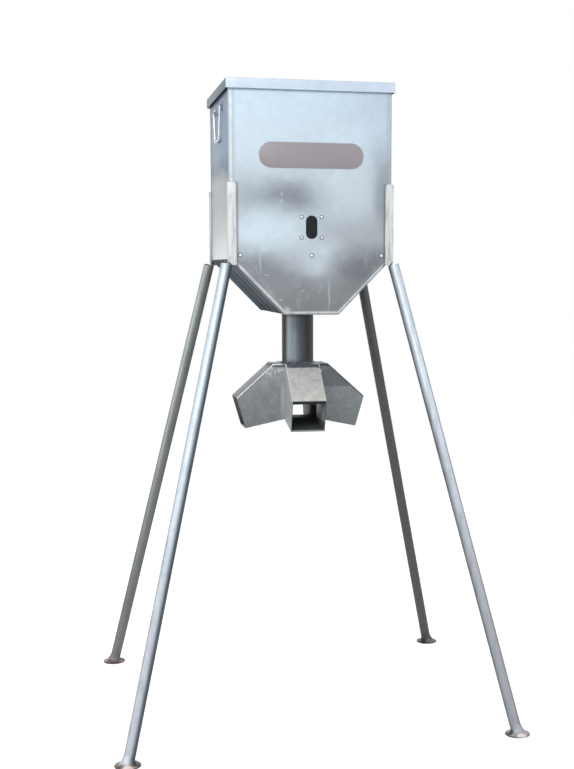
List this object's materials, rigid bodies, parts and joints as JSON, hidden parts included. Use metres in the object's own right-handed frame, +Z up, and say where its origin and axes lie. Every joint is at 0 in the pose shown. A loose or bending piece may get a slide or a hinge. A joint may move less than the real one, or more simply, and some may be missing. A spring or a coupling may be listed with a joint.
{
  "type": "protein feeder",
  "caption": "Free-standing gravity feeder for livestock: square galvanised hopper with hinged lid and funnel bottom, down pipe to a cross-shaped feed head, splayed tube legs with round feet.",
  "frame": {"origin": "on the ground, under the middle of the feeder, level with the undersides of the feet", "axes": "+Z up; the front with the sight window and the bare plate faces -Y; +X is to the right of someone who looks at the front"},
  "size_m": [1.406, 1.23, 2.2168],
  "materials": {
    "sheet": "hot-dip galvanised sheet, semi-bright with faint spangle",
    "bracket": "weathered zinc, chalky white",
    "tube": "galvanised tube, satin",
    "head": "dull galvanised plate",
    "fastener": "bright zinc",
    "plate": "bare greige plate, satin",
    "window": "smoked clear sheet"
  },
  "bodies": {
    "stand": {"front_panel": "sheet", "rear_panel": "sheet", "left_side_panel": "sheet", "right_side_panel": "sheet", "left_slope_panel": "sheet", "right_slope_panel": "sheet", "bottom_plate": "sheet", "front_inner_slope": "sheet", "rear_inner_slope": "sheet", "front_rivet_1": "fastener", "front_rivet_2": "fastener", "front_rivet_3": "fastener", "rear_rivet_1": "fastener", "rear_rivet_2": "fastener", "rear_rivet_3": "fastener", "sight_window": "window", "window_screw_1": "fastener", "window_screw_2": "fastener", "window_screw_3": "fastener", "window_screw_4": "fastener", "badge_plate": "plate", "left_hinge_body_leaf": "fastener", "right_hinge_body_leaf": "fastener", "left_hinge_pin": "fastener", "right_hinge_pin": "fastener", "left_handle_bracket": "sheet", "right_handle_bracket": "sheet", "front_left_bracket": "bracket", "front_right_bracket": "bracket", "rear_left_bracket": "bracket", "rear_right_bracket": "bracket", "front_left_stub": "tube", "front_right_stub": "tube", "rear_left_stub": "tube", "rear_right_stub": "tube", "front_left_leg": "tube", "front_right_leg": "tube", "rear_left_leg": "tube", "rear_right_leg": "tube", "front_left_foot": "tube", "front_right_foot": "tube", "rear_left_foot": "tube", "rear_right_foot": "tube", "down_pipe": "tube", "head_cover": "head", "head_floor": "head", "head_front_left_corner": "head", "head_front_right_corner": "head", "head_rear_left_corner": "head", "head_rear_right_corner": "head"},
    "lid": {"lid": "sheet", "left_hinge_lid_leaf": "fastener", "right_hinge_lid_leaf": "fastener"},
    "left_bail": {"left_handle": "fastener"},
    "right_bail": {"right_handle": "fastener"}
  },
  "joints": [
    {"name": "lid_hinge", "type": "hinge", "parent": "stand", "child": "lid", "pos_m": [0, 0.2938, 2.1778], "axis": [-1, 0, 0], "range_deg": [0, 200]},
    {"name": "left_handle_swing", "type": "hinge", "parent": "stand", "child": "left_bail", "pos_m": [-0.286, 0, 2.147], "axis": [0, 1, 0], "range_deg": [0, 90]},
    {"name": "right_handle_swing", "type": "hinge", "parent": "stand", "child": "right_bail", "pos_m": [0.286, 0, 2.147], "axis": [0, -1, 0], "range_deg": [0, 90]}
  ]
}
